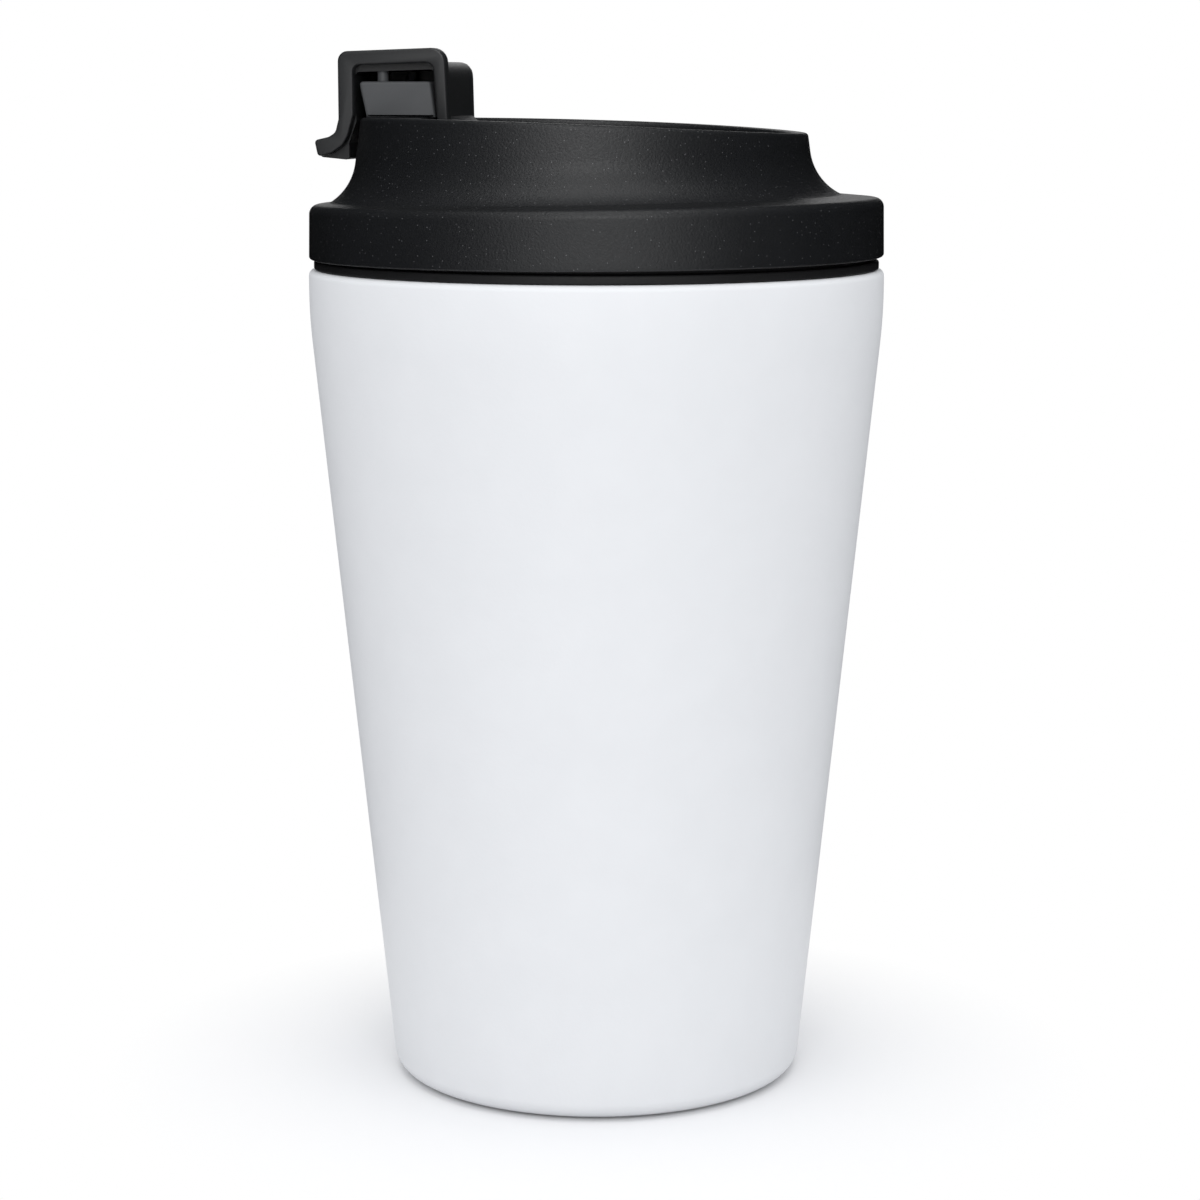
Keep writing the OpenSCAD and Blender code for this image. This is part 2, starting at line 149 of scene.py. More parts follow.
# Spout and flip cap, as distances from the axis towards the spout
RIM_OUT_X = 33.35
BLOCK_SHIFT = 1.5
BLOCK_R = 31.6
SEAT_Z = RIM_Z - 0.1
SEAT_W = 22
SLOT_OUT_X = RIM_OUT_X - 3.05
SLOT_IN_X = SLOT_OUT_X - 5.1
SLOT_W = 13
SLOT_CORNER_R = 2
SEAT_IN_X = SLOT_IN_X - 1.9
PIVOT_X = SEAT_IN_X - 2.7
PIVOT_Z = SEAT_Z - 3.3
KNUCKLE_R = 2
KNUCKLE_W = 13.8
CAP_W = 20.6
EAR_GAP = 0.4
LEG_X = PIVOT_X - 1
LEG_IN_X = LEG_X + 1.6
LEG_LEAN = 0.95
LEG_FOOT_Z = SEAT_Z - 0.7
OUT_LEG_IN_X = RIM_OUT_X + 0.5
OUT_LEG_X = OUT_LEG_IN_X + 2.3
HOOK_X = OUT_LEG_X + 3.75
HOOK_Z = SEAT_Z - 6
HOOK_FILL_H = 2.3
HOOK_FILL_OUT = 1.15
RELIEF_LEAD = 0.6
RELIEF_OUT = 0.6
CAP_TOP_Z = SEAT_Z + 10.05
CAP_FALL = 0.55
FRAME_W = 1.9
FRAME_T = 2.15
FRAME_LEAN = 0.65
HOOD_IN_R = 2.6
FRAME_IN_R = 2.1
FRAME_OUT_R = 1.45
HOOD_DROP = 1.9
HOOD_IN = 0.8
HOOD_T = 1.2
HOOD_CORNER_R = 3.4
END_WALL = 1.4
STOPPER_H = 5.2
STOPPER_LEAN = 0.75
STOPPER_CLEAR = 0.55
STOPPER_NEAR = 9.3
STOPPER_FAR = 8.6
PLUG_CLEAR = 0.3
PLUG_DEPTH = 1.9
PLUG_END_CLEAR = 1.3
PEG_X = OUT_LEG_IN_X - 3.75
PEG_Y = 7.5
PEG_R = 0.8


# Outlines, lists of (across, up) in millimetres

def arc(centre, radius, start, end, steps):
    """Points on an arc from one angle to another, in degrees."""
    points = []
    for i in range(steps + 1):
        angle = math.radians(start + (end - start) * i / steps)
        points.append((centre[0] + radius * math.cos(angle), centre[1] + radius * math.sin(angle)))
    return points


def rounded(points, radii, steps=6):
    """An outline whose corners are replaced by arcs of the given radii."""
    result = []
    count = len(points)
    for i in range(count):
        here = Vector(points[i])
        radius = radii[i] if isinstance(radii, (list, tuple)) else radii
        to_last = (Vector(points[i - 1]) - here).normalized()
        to_next = (Vector(points[(i + 1) % count]) - here).normalized()
        half = to_last.angle(to_next) / 2
        if radius <= 0 or half > math.radians(89):
            result.append(tuple(here))
            continue
        reach = radius / math.tan(half)
        start = here + to_last * reach
        end = here + to_next * reach
        centre = here + (to_last + to_next).normalized() * (radius / math.sin(half))
        sweep = (start - centre).angle_signed(end - centre)
        for k in range(steps + 1):
            angle = -sweep * k / steps
            spoke = start - centre
            turned = Vector((
                spoke.x * math.cos(angle) - spoke.y * math.sin(angle),
                spoke.x * math.sin(angle) + spoke.y * math.cos(angle),
            ))
            result.append(tuple(centre + turned))
    return result


def is_anticlockwise(points):
    area = 0
    for i, here in enumerate(points):
        after = points[(i + 1) % len(points)]
        area += here[0] * after[1] - after[0] * here[1]
    return area > 0


def drawn_in(points, amount):
    """The outline moved inwards by an amount, point by point."""
    side = 1 if is_anticlockwise(points) else -1
    count = len(points)
    result = []
    for i in range(count):
        here = Vector(points[i])
        before = (here - Vector(points[i - 1])).normalized()
        after = (Vector(points[(i + 1) % count]) - here).normalized()
        first = Vector((-before.y, before.x)) * side
        second = Vector((-after.y, after.x)) * side
        normal = first + second
        if normal.length < 1e-6:
            result.append(tuple(here))
            continue
        normal.normalize()
        stretch = 1 / max(0.5, normal.dot(first))
        result.append(tuple(here + normal * amount * stretch))
    return result


def finished(name, mesh, body, material, sharp=35):
    """An object from a mesh in millimetres, smoothed, with its material, riding on a body."""
    bmesh.ops.remove_doubles(mesh, verts=mesh.verts, dist=1e-5)
    bmesh.ops.recalc_face_normals(mesh, faces=mesh.faces)
    for vertex in mesh.verts:
        vertex.co *= MM
    data = bpy.data.meshes.new(name)
    mesh.to_mesh(data)
    mesh.free()
    data.shade_smooth()
    data.set_sharp_from_angle(angle=math.radians(sharp))
    data.materials.append(material)
    piece = bpy.data.objects.new(name, data)
    scene.collection.objects.link(piece)
    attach(piece, body)
    return piece


def add_rings(mesh, rings, closed_rings=True, closed_loop=False):
    """Quads between rings that hold the same number of points."""
    made = [[mesh.verts.new(point) for point in ring] for ring in rings]
    pairs = list(zip(made, made[1:]))
    if closed_loop:
        pairs.append((made[-1], made[0]))
    for low, high in pairs:
        count = len(low)
        for i in range(count if closed_rings else count - 1):
            j = (i + 1) % count
            mesh.faces.new((low[i], low[j], high[j], high[i]))
    return made


def add_lathe(mesh, outline, segments=256, closed=True, centre=(0, 0), bulge=None):
    """The outline turned round an upright axis; bulge(angle, z) moves points outwards."""
    rings = []
    for radius, z in outline:
        ring = []
        for i in range(segments):
            angle = TURN * i / segments
            out = radius + (bulge(angle, z, radius) if bulge else 0)
            ring.append((centre[0] + out * math.cos(angle), centre[1] + out * math.sin(angle), z))
        rings.append(ring)
    return add_rings(mesh, rings, closed_loop=closed)


def add_flat(mesh, loops, z, upwards=True):
    """A flat face at a height, bounded by the first loop, with the others as holes."""
    points = [[Vector((x, y, z)) for x, y in loop] for loop in loops]
    made = [mesh.verts.new(point) for loop in points for point in loop]
    for triangle in tessellate_polygon(points):
        corners = [made[i] for i in triangle]
        mesh.faces.new(corners if upwards else corners[::-1])


def add_slab(mesh, outline, near_y, far_y, near_edge=0.0, far_edge=0.0, steps=4, shape=None):
    """A side view (x, z) pushed along Y with rounded edges; shape(x, y, z) may move each point."""
    if near_edge:
        stations = [(near_y + near_edge * (1 - math.cos(math.pi / 2 * i / steps)),
                     near_edge * (1 - math.sin(math.pi / 2 * i / steps))) for i in range(steps + 1)]
    else:
        stations = [(near_y, 0)]
    if shape:
        start = near_y + near_edge
        end = far_y - far_edge
        stations += [(start + (end - start) * i / 24, 0) for i in range(1, 24)]
    if far_edge:
        stations += [(far_y - far_edge * (1 - math.sin(math.pi / 2 * i / steps)),
                      far_edge * (1 - math.cos(math.pi / 2 * i / steps))) for i in range(steps + 1)]
    else:
        stations.append((far_y, 0))
    rings = []
    for y, inset in stations:
        ring = []
        for x, z in drawn_in(outline, inset) if inset else outline:
            ring.append(shape(x, y, z) if shape else (x, y, z))
        rings.append(ring)
    made = add_rings(mesh, rings)
    mesh.faces.new(made[0][::-1])
    mesh.faces.new(made[-1])


def add_rod(mesh, x, y, radius, low_z, high_z, edge, segments=32):
    """An upright round rod with a rounded top."""
    outline = [(0, low_z), (radius, low_z)]
    outline += arc((radius - edge, high_z - edge), edge, 0, 90, 4)
    outline.append((0, high_z))
    add_lathe(mesh, outline, segments, closed=False, centre=(x, y))


# Materials

def new_material(name):
    material = bpy.data.materials.new(name)
    material.use_nodes = True
    tree = material.node_tree
    return material, tree, tree.nodes["Principled BSDF"]


def add_node(tree, kind, **sockets):
    node = tree.nodes.new(kind)
    for name, value in sockets.items():
        node.inputs[name.replace("_", " ")].default_value = value
    return node


def object_noise(tree, scale, detail=2.0, rough=0.55, squeeze=(1, 1, 1)):
    """Noise in the piece's own coordinates, in which scale counts waves per metre."""
    place = tree.nodes.new("ShaderNodeTexCoord")
    mapping = tree.nodes.new("ShaderNodeMapping")
    mapping.inputs["Scale"].default_value = squeeze
    noise = add_node(tree, "ShaderNodeTexNoise", Scale=scale, Detail=detail, Roughness=rough)
    tree.links.new(place.outputs["Object"], mapping.inputs["Vector"])
    tree.links.new(mapping.outputs["Vector"], noise.inputs["Vector"])
    return noise.outputs["Fac"]


def remap(tree, value, low, high, to_low, to_high):
    node = add_node(tree, "ShaderNodeMapRange")
    node.inputs["From Min"].default_value = low
    node.inputs["From Max"].default_value = high
    node.inputs["To Min"].default_value = to_low
    node.inputs["To Max"].default_value = to_high
    tree.links.new(value, node.inputs["Value"])
    return node.outputs["Result"]


def mixed_colour(tree, factor, first, second):
    node = tree.nodes.new("ShaderNodeMix")
    node.data_type = "RGBA"
    node.inputs["A"].default_value = (*first, 1)
    node.inputs["B"].default_value = (*second, 1)
    tree.links.new(factor, node.inputs["Factor"])
    return node.outputs["Result"]


def bumped(tree, shader, heights):
    """Bumps stacked on the shader, each given as (height, strength, depth in metres)."""
    normal = None
    for height, strength, depth in heights:
        bump = add_node(tree, "ShaderNodeBump", Strength=strength, Distance=depth)
        tree.links.new(height, bump.inputs["Height"])
        if normal:
            tree.links.new(normal, bump.inputs["Normal"])
        normal = bump.outputs["Normal"]
    tree.links.new(normal, shader.inputs["Normal"])


def grained(name, dark, light, roughness, grain_scale, grain_depth, specular=0.5, metallic=0.0,
            squeeze=(1, 1, 1), spread=0.06, wave_depth=0.00002):
    """A surface with fine grain, slight waves, and small changes of colour and roughness."""
    material, tree, shader = new_material(name)
    grain = object_noise(tree, grain_scale, 3.0, 0.6, squeeze)
    wave = object_noise(tree, 130, 2.0)
    tree.links.new(mixed_colour(tree, wave, dark, light), shader.inputs["Base Color"])
    tree.links.new(remap(tree, grain, 0.3, 0.7, roughness - spread, roughness + spread),
                   shader.inputs["Roughness"])
    shader.inputs["Specular IOR Level"].default_value = specular
    shader.inputs["Metallic"].default_value = metallic
    bumped(tree, shader, [(wave, 0.4, wave_depth), (grain, 0.5, grain_depth)])
    return material, tree, shader


def with_painted_glints(material, tree, shader, glint_colour, cell, share, size):
    """Sparse light specks painted into the colour as glints of the grain's sparkle, one to a cell of the
    given size in metres, in a share of the cells.
    """
    place = tree.nodes.new("ShaderNodeTexCoord")
    cells = add_node(tree, "ShaderNodeTexVoronoi", Scale=1 / cell)
    tree.links.new(place.outputs["Object"], cells.inputs["Vector"])
    near = remap(tree, cells.outputs["Distance"], size * 0.5, size, 1, 0)
    split = tree.nodes.new("ShaderNodeSeparateColor")
    tree.links.new(cells.outputs["Color"], split.inputs["Color"])
    chosen = remap(tree, split.outputs["Red"], 1 - share, 1 - share + 0.01, 0, 1)
    both = tree.nodes.new("ShaderNodeMath")
    both.operation = "MULTIPLY"
    tree.links.new(near, both.inputs[0])
    tree.links.new(chosen, both.inputs[1])
    mix = tree.nodes.new("ShaderNodeMix")
    mix.data_type = "RGBA"
    source = shader.inputs["Base Color"].links[0].from_socket
    tree.links.new(source, mix.inputs["A"])
    mix.inputs["B"].default_value = (*glint_colour, 1)
    tree.links.new(both.outputs["Value"], mix.inputs["Factor"])
    tree.links.new(mix.outputs["Result"], shader.inputs["Base Color"])
    return material


def surface(name, dark, light, **choices):
    """A grained material to which nothing more is added."""
    return grained(name, dark, light, **choices)[0]


powder_coat = surface("powder_coat", (0.80, 0.81, 0.83), (0.84, 0.85, 0.87),
                      roughness=0.5, grain_scale=1500, grain_depth=0.00004, specular=0.35)
# The lid's light specks are painted glints that stand in for the sparkle of its grain.
lid_plastic = with_painted_glints(
    *grained("lid_plastic", (0.0065, 0.0073, 0.0088), (0.0095, 0.0105, 0.0122),
             roughness=0.47, grain_scale=3000, grain_depth=0.00013, specular=0.55),
    glint_colour=(0.13, 0.13, 0.135), cell=0.0005, share=0.3, size=0.17)
cap_plastic = surface("cap_plastic", (0.017, 0.0178, 0.0192), (0.022, 0.0228, 0.0242),
                      roughness=0.4, grain_scale=4200, grain_depth=0.00003, specular=0.55)
soft_grey = surface("soft_grey", (0.076, 0.079, 0.083), (0.098, 0.101, 0.106),
                    roughness=0.5, grain_scale=1500, grain_depth=0.00002, specular=0.45)
soft_black = surface("soft_black", (0.006, 0.006, 0.0065), (0.010, 0.010, 0.011),
                     roughness=0.6, grain_scale=2200, grain_depth=0.00002, specular=0.35)
brushed = surface("brushed", (0.50, 0.50, 0.51), (0.58, 0.58, 0.59), roughness=0.32,
                  grain_scale=900, grain_depth=0.00001, metallic=1.0, squeeze=(0.08, 0.08, 6))
steel = surface("steel", (0.55, 0.55, 0.56), (0.62, 0.62, 0.63),
                roughness=0.28, grain_scale=2500, grain_depth=0.00001, metallic=1.0)
pellet = surface("pellet", (0.16, 0.15, 0.14), (0.22, 0.21, 0.20),
                 roughness=0.8, grain_scale=2500, grain_depth=0.00006)
bead = surface("bead", (0.20, 0.20, 0.21), (0.27, 0.27, 0.28),
               roughness=0.45, grain_scale=900, grain_depth=0.00004)


def finish_node(name, material):
    """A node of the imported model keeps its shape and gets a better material."""
    data = nodes[name].data
    data.materials.clear()
    data.materials.append(material)


for node_name, node_material in (
    ("outer_base", steel),
    ("getter", pellet),
    ("getter_clip", steel),
    ("vacuum_plug", bead),
    ("lid_seal", soft_black),
    ("hinge_pin", steel),
):
    finish_node(node_name, node_material)


# Cup

def wall_line():
    """(taper in degrees, shoulder radius, shoulder height) of the tapered outer wall."""
    turn_z = BODY_H - UPRIGHT_H
    turn_x = LIP_R - TURN_R
    run = turn_x - BASE_R
    taper = math.acos(-TURN_R / math.hypot(run, turn_z)) - math.atan2(turn_z, run)
    return (math.degrees(taper), turn_x + TURN_R * math.cos(taper),
            turn_z - TURN_R * math.sin(taper))


TAPER, SHOULDER_R, SHOULDER_Z = wall_line()


def wall_r(z):
    return BASE_R + (SHOULDER_R - BASE_R) * z / SHOULDER_Z


def make_cup_wall():
    turn_z = BODY_H - UPRIGHT_H
    corner_z = FOOT_GAP + FOOT_EDGE_R
    corner_r = wall_r(corner_z) - FOOT_EDGE_R / math.cos(math.radians(TAPER))
    inner = OUTER_WALL
    outline = [(RECESS_R + 0.1, FOOT_GAP + inner), (RECESS_R, FOOT_GAP + 0.2)]
    outline += [(RECESS_R + 0.2, FOOT_GAP), (corner_r, FOOT_GAP)]
    outline += arc((corner_r, corner_z), FOOT_EDGE_R, -90, -TAPER, 12)[1:]
    for i in range(1, 24):
        z = corner_z + (SHOULDER_Z - corner_z) * i / 24
        outline.append((wall_r(z), z))
    outline += arc((LIP_R - TURN_R, turn_z), TURN_R, -TAPER, 0, 14)
    outline += arc((LIP_R - LIP_EDGE_R, BODY_H - LIP_EDGE_R), LIP_EDGE_R, 0, 90, 8)
    mouth_out_r = MOUTH_R + LINER_WALL
    outline += [(mouth_out_r, BODY_H), (mouth_out_r, BODY_H - inner)]
    outline += [(LIP_R - inner, BODY_H - inner - 0.4), (LIP_R - inner, turn_z)]
    outline += [(SHOULDER_R - inner, SHOULDER_Z), (wall_r(corner_z) - inner, corner_z)]
    outline += arc((corner_r, corner_z), FOOT_EDGE_R - inner, -TAPER, -90, 6)[1:]
    mesh = bmesh.new()
    add_lathe(mesh, outline, 320)
    piece = finished("cup_wall", mesh, "cup", powder_coat, 30)
    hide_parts("outer_shell")


def make_cup_liner():
    step_z = BODY_H - MOUTH_DEPTH
    gap = OUTER_WALL + VACUUM_GAP
    corner_z = LINER_FLOOR_Z + LINER_EDGE_R

    def side(inset):
        edge = LINER_EDGE_R - inset
        corner_r = wall_r(corner_z) - gap - inset - edge
        points = [(0, corner_z - edge), (corner_r * 0.5, corner_z - edge), (corner_r, corner_z - edge)]
        points += arc((corner_r, corner_z), edge, -90, -TAPER, 10)[1:]
        points.append((wall_r(step_z - LINER_STEP) - gap - inset, step_z - LINER_STEP))
        points.append((MOUTH_R + LINER_WALL - inset, step_z))
        for i in range(1, 41):
            points.append((MOUTH_R + LINER_WALL - inset, step_z + (MOUTH_DEPTH - 0.5) * i / 40))
        return points

    def groove(angle, z, radius):
        if not (abs(radius - MOUTH_R) < 0.01 and step_z + 1.5 < z < BODY_H - 2):
            return 0
        phase = ((z / THREAD_PITCH + angle / TURN) % 1) - 0.5
        return 0.2 * max(0, math.cos(phase * math.pi)) ** 4

    inner = side(LINER_WALL)
    outline = inner + [(MOUTH_R, BODY_H - 0.1), (MOUTH_R + 0.1, BODY_H)]
    outline += [(MOUTH_R + LINER_WALL, BODY_H)] + side(0)[::-1]
    mesh = bmesh.new()
    add_lathe(mesh, outline, 192, closed=False, bulge=groove)
    piece = finished("cup_liner", mesh, "cup", brushed, 40)
    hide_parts("inner_liner")


def make_foot_pad():
    outline = [(0, PAD_T), (0, 0)]
    for ring_r in PAD_GROOVES:
        outline += [(ring_r - 0.5, 0), (ring_r - 0.25, 0.35), (ring_r + 0.25, 0.35), (ring_r + 0.5, 0)]
    outline += arc((PAD_R - 0.5, 0.5), 0.5, -90, 0, 5)
    outline.append((PAD_R, PAD_T - 0.02))
    mesh = bmesh.new()
    add_lathe(mesh, outline, 192, closed=False)
    piece = finished("foot_ring_pad", mesh, "cup", soft_black, 40)
    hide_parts("foot_pad")


def make_gasket():
    low = BODY_H
    high = FLOOR_Z
    edge = 0.35
    outline = [(NECK_R, low), (GASKET_R - edge, low)]
    outline += arc((GASKET_R - edge, low + edge), edge, -90, 0, 5)[1:]
    outline += arc((GASKET_R - edge, high - edge), edge, 0, 90, 5)
    outline.append((NECK_R, high))
    mesh = bmesh.new()
    add_lathe(mesh, outline, 256)
    piece = finished("rim_ring", mesh, "gasket", soft_black)
    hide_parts("rim_gasket")


make_cup_wall()
make_cup_liner()
make_foot_pad()
make_gasket()


# Lid

def slot_loop(grow, steps=8):
    """The drinking opening's outline seen from above, grown by some distance."""
    corner = SLOT_CORNER_R + grow
    x0 = -SLOT_OUT_X - grow
    x1 = -SLOT_IN_X + grow
    y1 = SLOT_W / 2 + grow
    return rounded([(x0, -y1), (x1, -y1), (x1, y1), (x0, y1)], corner, steps)


def vent_loop():
    """The air hole's outline seen from above."""
    return [(VENT_X + x, y) for x, y in arc((0, 0), VENT_R, 0, 352.5, 47)]


def add_tube(mesh, outer, inner, low_z, high_z, edge):
    """A wall between two loops seen from above, with rounded edges along its flat top."""
    def skin(loop, sign):
        stations = [(low_z, 0)]
        stations += [(high_z - edge + edge * math.sin(math.pi / 8 * i),
                      edge * (1 - math.cos(math.pi / 8 * i))) for i in range(5)]
        rings = [[(x, y, z) for x, y in drawn_in(loop, sign * inset)] for z, inset in stations]
        add_rings(mesh, rings)
        return drawn_in(loop, sign * edge)

    outer_top = skin(outer, 1)
    inner_top = skin(inner, -1)
    add_flat(mesh, [outer_top, inner_top], high_z)
    add_flat(mesh, [outer, inner], low_z, upwards=False)


def make_lid_neck():
    outline = [(NECK_R - NECK_WALL, NECK_Z + 0.3), (NECK_R - NECK_WALL + 0.3, NECK_Z)]
    outline += arc((NECK_R - 0.8, NECK_Z + 0.8), 0.8, -90, 0, 5)
    steps = 60
    for i in range(1, steps):
        outline.append((NECK_R, NECK_Z + 0.8 + (BODY_H - NECK_Z - 0.8) * i / steps))
    flange_r = BAND_R - LID_WALL
    outline += [(NECK_R, FLOOR_Z), (flange_r - 0.2, FLOOR_Z), (flange_r, FLOOR_Z + 0.2)]
    outline += [(flange_r, FLOOR_Z + FLOOR_T), (0, FLOOR_Z + FLOOR_T)]

    def ridge(angle, z, radius):
        low = NECK_Z + 1.6
        high = BODY_H - 2.2
        if abs(radius - NECK_R) > 0.01 or not low < z < high:
            return 0
        turn = (z - low) / THREAD_PITCH - angle / TURN
        phase = (turn % 1) - 0.5
        ends = min(1, (z - low) / 0.8, (high - z) / 0.8)
        return THREAD_H * ends * max(0, math.cos(phase * math.pi)) ** 6

    mesh = bmesh.new()
    add_lathe(mesh, outline, 192, closed=False, bulge=ridge)
    under = []
    for i in range(96):
        angle = TURN * i / 96
        under.append(((NECK_R - NECK_WALL) * math.cos(angle), (NECK_R - NECK_WALL) * math.sin(angle)))
    add_rings(mesh, [[(x, y, z) for x, y in under] for z in (NECK_Z + 0.3, FLOOR_Z)])
    vent = vent_loop()
    add_flat(mesh, [under, slot_loop(0), vent], FLOOR_Z, upwards=False)
    piece = finished("lid_neck", mesh, "lid", soft_black, 50)
    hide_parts("lid_inner")


make_lid_neck()


def lid_slope(x, y):
    """Height that the askew lid adds at a place."""
    return LID_SLOPE_X * x + LID_SLOPE_Y * y


def shelf_height(x, y):
    """Height of the sloping shelf at a place."""
    out_r = BAND_R - BAND_EDGE_R
    rise = SHELF_RISE * (out_r - math.hypot(x, y)) / (out_r - SHELF_IN_R)
    return SHELF_Z + rise + lid_slope(x, y)


def rim_height(x, y):
    """Height of the arched rim, flat where it carries the spout's seat."""
    arch = RIM_Z - (x + RIM_CREST_X) ** 2 / (2 * RIM_ARCH_R)
    arch -= RIM_FAR_DROP * ((y - RIM_NEAR_Y) / RIM_SPAN) ** 2
    if x < -PIVOT_X and abs(y) < SEAT_W / 2:
        return min(arch, SEAT_Z)
    return arch


def leg_relief(z):
    """How far the dome may reach towards the spout behind the cap's outer leg and hook."""
    hook_low = HOOK_Z - RELIEF_LEAD
    hook_high = HOOK_Z + HOOK_FILL_H
    relief = OUT_LEG_IN_X + RELIEF_OUT
    if z < hook_low:
        return math.inf
    if z < HOOK_Z:
        return relief + HOOK_FILL_OUT * (HOOK_Z - z) / RELIEF_LEAD
    if z < hook_high:
        return relief
    share = min(1, (z - hook_high) / (SEAT_Z - 0.5 - hook_high))
    return relief + (RIM_OUT_X - relief) * share


def band_profile():
    """(radius, height) up the band's inner face, round its foot and up to its top edge."""
    inner_r = BAND_R - LID_WALL
    foot_r = BAND_R + BAND_DRAFT / 2
    head_r = BAND_R - BAND_DRAFT / 2
    foot_z = BAND_Z + BAND_FOOT_R
    points = [(inner_r - 1, BAND_TOP_Z - 0.4), (inner_r, BAND_TOP_Z - 1.4), (inner_r, BAND_Z + 0.15)]
    points.append((inner_r + 0.15, BAND_Z))
    points += arc((foot_r - BAND_FOOT_R, foot_z), BAND_FOOT_R, -90, 0, 6)
    for i in range(1, 6):
        points.append((foot_r + (head_r - foot_r) * i / 6, foot_z + (BAND_TOP_Z - foot_z) * i / 6))
    return points + arc((head_r - BAND_EDGE_R, BAND_TOP_Z), BAND_EDGE_R, 0, 84, 12)


def lid_column(angle):
    """Points of the lid's skin in one upright plane through the dome's axis, from under the shelf."""
    way = Vector((math.cos(angle), math.sin(angle)))
    axis = Vector((-DOME_SHIFT, 0))

    def out_to(radius):
        along = axis.dot(way)
        return -along + math.sqrt(along ** 2 - axis.length_squared + radius ** 2)

    def place(reach, z):
        flat = axis + way * reach
        return (max(flat.x, -leg_relief(z)), flat.y, z)

    def height_on_shelf(reach):
        return shelf_height(*(axis + way * reach))

    points = [place(out_to(SHELF_IN_R - 1), DECK_Z - DECK_T), place(out_to(SHELF_IN_R + 2), BAND_TOP_Z)]
    for radius, z in band_profile():
        flat = axis + way * out_to(radius)
        share = max(0, min(1, (z - BAND_Z) / (BAND_TOP_Z - BAND_Z)))
        share = FOOT_SLOPE_SHARE + (1 - FOOT_SLOPE_SHARE) * share
        points.append((flat.x, flat.y, max(z + share * lid_slope(*flat), FLOOR_Z + 0.06)))

    centre = axis + way * SWEEP_CENTRE_R
    sweep_z = SWEEP_Z + lid_slope(*centre) + WAIST_SLOPE_X * centre.x
    low, high = SWEEP_CENTRE_R - SWEEP_R, SWEEP_CENTRE_R
    for _ in range(30):
        middle = (low + high) / 2
        depth = math.sqrt(SWEEP_R ** 2 - (SWEEP_CENTRE_R - middle) ** 2)
        if sweep_z - depth > height_on_shelf(middle):
            low = middle
        else:
            high = middle
    crease = (low + high) / 2
    edge = out_to(BAND_R - BAND_DRAFT / 2 - BAND_EDGE_R)
    for i in range(1, 12):
        reach = edge + (crease - edge) * i / 12
        points.append(place(reach, height_on_shelf(reach)))
    start = math.asin((SWEEP_CENTRE_R - crease) / SWEEP_R)
    for i in range(25):
        turn = start + (math.pi / 2 - FLANK_LEAN - start) * i / 24
        points.append(place(SWEEP_CENTRE_R - SWEEP_R * math.sin(turn), sweep_z - SWEEP_R * math.cos(turn)))

    flank_r = SWEEP_CENTRE_R - SWEEP_R * math.cos(FLANK_LEAN)
    flank_z = sweep_z - SWEEP_R * math.sin(FLANK_LEAN)
    outer = axis + way * (flank_r - math.tan(FLANK_LEAN) * (RIM_Z - flank_z))
    top = rim_height(outer.x, outer.y)
    shoulder = top - RIM_EDGE_R
    shoulder_r = flank_r - math.tan(FLANK_LEAN) * (shoulder - flank_z)
    for i in range(1, 9):
        share = i / 8
        points.append(place(flank_r + (shoulder_r - flank_r) * share,
                            flank_z + (shoulder - flank_z) * share))
    edge_r = shoulder_r - RIM_EDGE_R / math.cos(FLANK_LEAN)
    bore_r = edge_r + RIM_EDGE_R - RIM_T
    points += [place(r, z) for r, z in arc((edge_r, shoulder), RIM_EDGE_R, 20, 90, 5)]
    points.append(place((edge_r + bore_r + RIM_EDGE_R) / 2, top))
    points += [place(r, z) for r, z in arc((bore_r + RIM_EDGE_R, shoulder), RIM_EDGE_R, 90, 180, 6)]
    fillet = 1.0
    for i in range(1, 8):
        points.append(place(bore_r, shoulder + (DECK_Z + fillet - shoulder) * i / 8))
    points += [place(r, z) for r, z in arc((bore_r - fillet, DECK_Z + fillet), fillet, 0, -90, 6)]
    return points


def make_lid_shell():
    segments = 360
    columns = [lid_column(TURN * i / segments) for i in range(segments)]
    rings = [list(ring) for ring in zip(*columns)]
    mesh = bmesh.new()
    add_rings(mesh, rings)
    deck_loop = [(x, y) for x, y, z in rings[-1]]
    vent = vent_loop()
    add_flat(mesh, [deck_loop, slot_loop(0.2), vent], DECK_Z)
    add_rings(mesh, [[(x, y, z) for x, y in vent] for z in (DECK_Z, DECK_Z - DECK_T)])

    half = SEAT_W / 2
    sweep = math.degrees(math.asin(half / BLOCK_R))
    block = [(-SEAT_IN_X, half)]
    block += [(x - BLOCK_SHIFT, y) for x, y in arc((0, 0), BLOCK_R, 180 - sweep, 180 + sweep, 24)]
    block.append((-SEAT_IN_X, -half))
    add_tube(mesh, block, slot_loop(0), DECK_Z - DECK_T, SEAT_Z + 0.01, 0.35)
    ear_in = KNUCKLE_W / 2 + EAR_GAP
    for near, far in ((-CAP_W / 2, -ear_in), (ear_in, CAP_W / 2)):
        add_slab(mesh, ear_line(), near, far, 0.25, 0.25)
    piece = finished("lid_dome", mesh, "lid", lid_plastic, 32)
    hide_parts("lid_shell")


def ear_line():
    """Side view of one hinge ear: an eye carried out from the seat block."""
    eye = (-PIVOT_X, PIVOT_Z)
    root = (-SEAT_IN_X - 1, DECK_Z + 1)
    away = (root[0] - eye[0], root[1] - eye[1])
    lean = math.degrees(math.atan2(away[1], away[0]) + math.acos(KNUCKLE_R / math.hypot(*away)))
    points = arc(eye, KNUCKLE_R, lean % 360 - 360, 90, 20)
    return points + [(root[0], PIVOT_Z + KNUCKLE_R), root]


make_lid_shell()


# Flip cap and stopper

